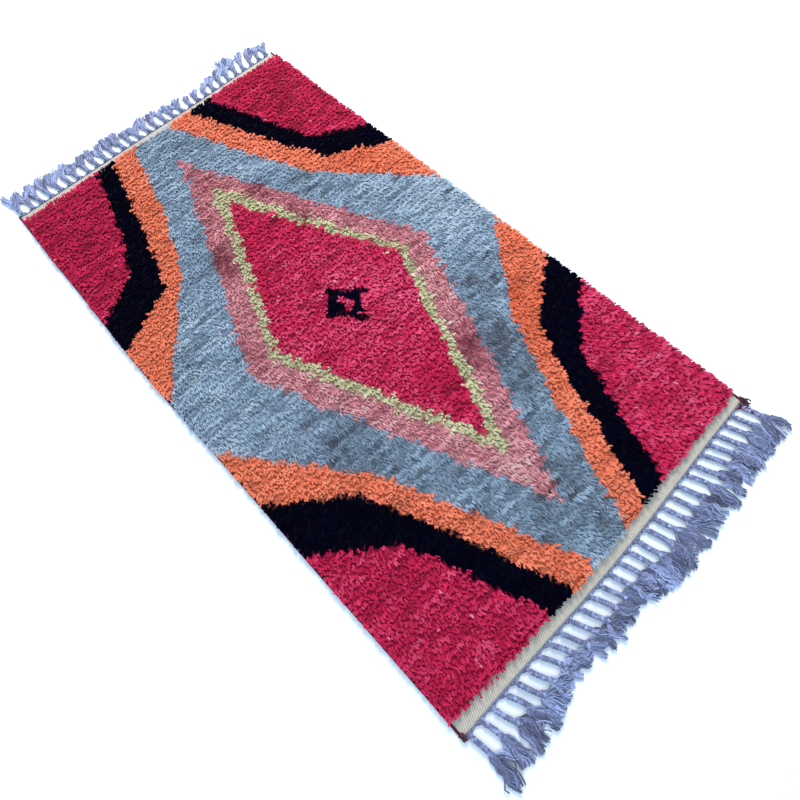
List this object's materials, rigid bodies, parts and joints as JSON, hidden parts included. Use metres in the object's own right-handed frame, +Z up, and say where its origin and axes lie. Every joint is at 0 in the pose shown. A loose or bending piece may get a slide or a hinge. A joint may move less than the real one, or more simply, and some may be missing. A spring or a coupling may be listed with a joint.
{
  "type": "berber rug",
  "caption": "Hand-knotted wool rug lying flat, with a centre diamond, bands curving round its corners, bare flat-woven end bands and a twisted, frayed fringe at each end.",
  "frame": {"origin": "on the floor under the middle of the rug with its fringes", "axes": "+X across the width, to the right as seen from the near end; +Y along the length, from the near end to the far end; +Z up, out of the pile"},
  "size_m": [0.9964, 2.0047, 0.0201],
  "materials": {
    "weave": "undyed wool and cotton, flat-woven, matt",
    "pile": "hand-spun wool pile in crimson, navy-black, orange, grey-blue, rose and olive, matt with a soft sheen",
    "selvedge": "wine-coloured wool wrapped over the edge cords, matt",
    "fringe": "grey-mauve wool, twined and twisted, frayed at its ends"
  },
  "bodies": {
    "root": {"ground_weave": "weave", "pile": "pile", "selvedge_left": "selvedge", "selvedge_right": "selvedge", "fringe_near": "fringe", "fringe_far": "fringe"}
  },
  "joints": []
}
